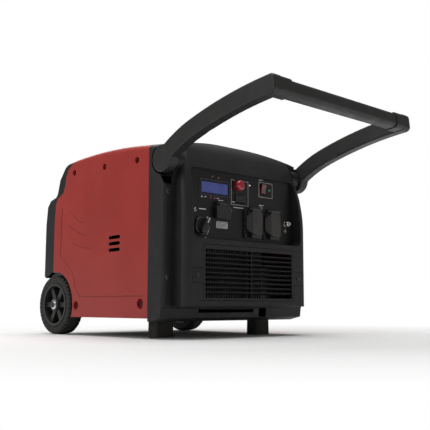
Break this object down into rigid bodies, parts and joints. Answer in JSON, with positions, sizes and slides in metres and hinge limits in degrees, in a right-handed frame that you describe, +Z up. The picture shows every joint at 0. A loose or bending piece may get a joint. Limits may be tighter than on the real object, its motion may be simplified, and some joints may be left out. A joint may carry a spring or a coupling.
{
  "type": "inverter generator",
  "caption": "Closed inverter generator with a front control panel, a fold-down pulling handle, two rear wheels, front feet, a recoil starter and an engine with alternator inside",
  "frame": {"origin": "on the ground plane, at the centre of the footprint of the whole machine with its handle raised", "axes": "+X to the right for a user facing the control panel, +Y from the control panel towards the wheels, +Z up"},
  "size_m": [0.4895, 0.857, 0.5246],
  "materials": {
    "black_housing": "fine moulded texture, satin",
    "red_cover": "moulded, low gloss",
    "grip_plastic": "moulded, satin",
    "rubber": "moulded",
    "tyre": "moulded tread",
    "wheel_plastic": "moulded",
    "steel": "zinc plated",
    "bright_steel": "bright plated",
    "aluminium": "die cast, bead blasted",
    "cast_iron": "machined and as cast",
    "dark_plastic": "moulded, satin",
    "red_plastic": "polished",
    "display": "clear cover over a blue display",
    "lens": "frosted",
    "trim_print": "raised and printed",
    "tank_plastic": "blow moulded",
    "muffler_steel": "heat resistant paint",
    "rope": "braided"
  },
  "bodies": {
    "machine": {"air_cleaner": "dark_plastic", "axle": "steel", "axle_caps": "steel", "base_tray": "black_housing", "battery": "dark_plastic", "blower_housing": "dark_plastic", "carburettor": "aluminium", "control_panel": "black_housing", "cylinder_head": "aluminium", "dc_outlet": "dark_plastic", "engine_block": "aluminium", "engine_mounts": "rubber", "front_feet": "rubber", "front_housing": "black_housing", "fuel_tank": "tank_plastic", "ground_nut": "bright_steel", "ground_terminal": "bright_steel", "handle_pivot_pins": "steel", "hinge_pins": "steel", "housing_screws": "bright_steel", "indicator_lenses": "lens", "intake_grille": "black_housing", "inverter_module": "aluminium", "lcd_display": "display", "left_side_cover": "red_cover", "muffler": "muffler_steel", "panel_frames": "trim_print", "rear_housing": "black_housing", "right_side_cover": "red_cover", "socket_inserts": "dark_plastic", "spark_plug": "steel", "stator": "steel", "top_cover": "red_cover", "valve_cover": "aluminium"},
    "handle": {"handle_arm_left": "grip_plastic", "handle_arm_right": "grip_plastic", "handle_tube": "steel", "handle_grip": "grip_plastic", "handle_pivot_caps": "grip_plastic"},
    "left_road_wheel": {"left_tyre": "tyre", "left_wheel": "wheel_plastic"},
    "right_road_wheel": {"right_tyre": "tyre", "right_wheel": "wheel_plastic"},
    "engine_dial": {"engine_switch": "dark_plastic"},
    "start_push": {"start_button": "red_plastic"},
    "eco_switch": {"eco_rocker": "dark_plastic"},
    "reset_switch": {"reset_rocker": "red_plastic"},
    "lid_left": {"socket_lid_left": "dark_plastic"},
    "lid_right": {"socket_lid_right": "dark_plastic"},
    "dc_cover": {"dc_cap": "dark_plastic"},
    "tank_cap": {"fuel_cap": "dark_plastic"},
    "vent_lever": {"fuel_vent_lever": "dark_plastic"},
    "recoil_pull_handle": {"recoil_handle": "dark_plastic", "recoil_rope": "rope"},
    "recoil_drum": {"recoil_reel": "wheel_plastic"},
    "crank": {"crankshaft": "steel", "rotor_fan": "cast_iron"},
    "service_door": {"maintenance_door": "red_cover"},
    "service_latch": {"door_latch": "dark_plastic"},
    "dipstick": {"oil_dipstick": "dark_plastic"}
  },
  "joints": [
    {"name": "handle_fold", "type": "hinge", "parent": "machine", "child": "handle", "pos_m": [0, -0.0832, 0.404], "axis": [1, 0, 0], "range_deg": [0, 95]},
    {"name": "wheel_left_spin", "type": "hinge", "parent": "machine", "child": "left_road_wheel", "pos_m": [0, 0.3528, 0.076], "axis": [1, 0, 0], "continuous": true},
    {"name": "wheel_right_spin", "type": "hinge", "parent": "machine", "child": "right_road_wheel", "pos_m": [0, 0.3528, 0.076], "axis": [1, 0, 0], "continuous": true},
    {"name": "engine_switch_turn", "type": "hinge", "parent": "machine", "child": "engine_dial", "pos_m": [-0.137, -0.1052, 0.256], "axis": [0, -1, 0], "range_deg": [-120, 0]},
    {"name": "start_button_press", "type": "slide", "parent": "machine", "child": "start_push", "axis": [0, 1, 0], "range_m": [0, 0.002], "stiffness_N_per_m": 400},
    {"name": "eco_rocker_tilt", "type": "hinge", "parent": "machine", "child": "eco_switch", "pos_m": [-0.01, -0.1032, 0.331], "axis": [0, 0, 1], "range_deg": [0, 14]},
    {"name": "reset_rocker_tilt", "type": "hinge", "parent": "machine", "child": "reset_switch", "pos_m": [0.072, -0.1032, 0.364], "axis": [-1, 0, 0], "range_deg": [0, 14]},
    {"name": "socket_lid_left_open", "type": "hinge", "parent": "machine", "child": "lid_left", "pos_m": [0.033, -0.1192, 0.308], "axis": [-1, 0, 0], "range_deg": [0, 110], "stiffness_Nm_per_rad": 0.02, "springref_deg": -17.19},
    {"name": "socket_lid_right_open", "type": "hinge", "parent": "machine", "child": "lid_right", "pos_m": [0.099, -0.1192, 0.308], "axis": [-1, 0, 0], "range_deg": [0, 110], "stiffness_Nm_per_rad": 0.02, "springref_deg": -17.19},
    {"name": "dc_cap_open", "type": "hinge", "parent": "machine", "child": "dc_cover", "pos_m": [-0.074, -0.1132, 0.313], "axis": [-1, 0, 0], "range_deg": [0, 120]},
    {"name": "fuel_cap_turn", "type": "hinge", "parent": "machine", "child": "tank_cap", "pos_m": [0, 0.1648, 0.475], "axis": [0, 0, 1], "range_deg": [0, 120]},
    {"name": "fuel_vent_turn", "type": "hinge", "parent": "tank_cap", "child": "vent_lever", "pos_m": [0, 0.1648, 0.495], "axis": [0, 0, 1], "range_deg": [0, 90]},
    {"name": "recoil_pull", "type": "slide", "parent": "machine", "child": "recoil_pull_handle", "axis": [1, 0, 0], "range_m": [0, 0.15]},
    {"name": "recoil_reel_spin", "type": "hinge", "parent": "machine", "child": "recoil_drum", "pos_m": [0, -0.0112, 0.185], "axis": [0, 1, 0], "range_deg": [0, 210]},
    {"name": "crank_spin", "type": "hinge", "parent": "machine", "child": "crank", "pos_m": [0, 0.0548, 0.185], "axis": [0, 1, 0], "continuous": true},
    {"name": "door_open", "type": "hinge", "parent": "machine", "child": "service_door", "pos_m": [0.242, 0.1973, 0.222], "axis": [0, 0, 1], "range_deg": [0, 110]},
    {"name": "door_latch_turn", "type": "hinge", "parent": "service_door", "child": "service_latch", "pos_m": [0.238, 0.0428, 0.222], "axis": [1, 0, 0], "range_deg": [0, 90]},
    {"name": "dipstick_pull", "type": "slide", "parent": "machine", "child": "dipstick", "axis": [1, 0, 0], "range_m": [0, 0.05]}
  ],
  "couplings": [
    {"joint": "recoil_reel_spin", "follows": "recoil_pull", "rad_per_m": 23.81}
  ]
}
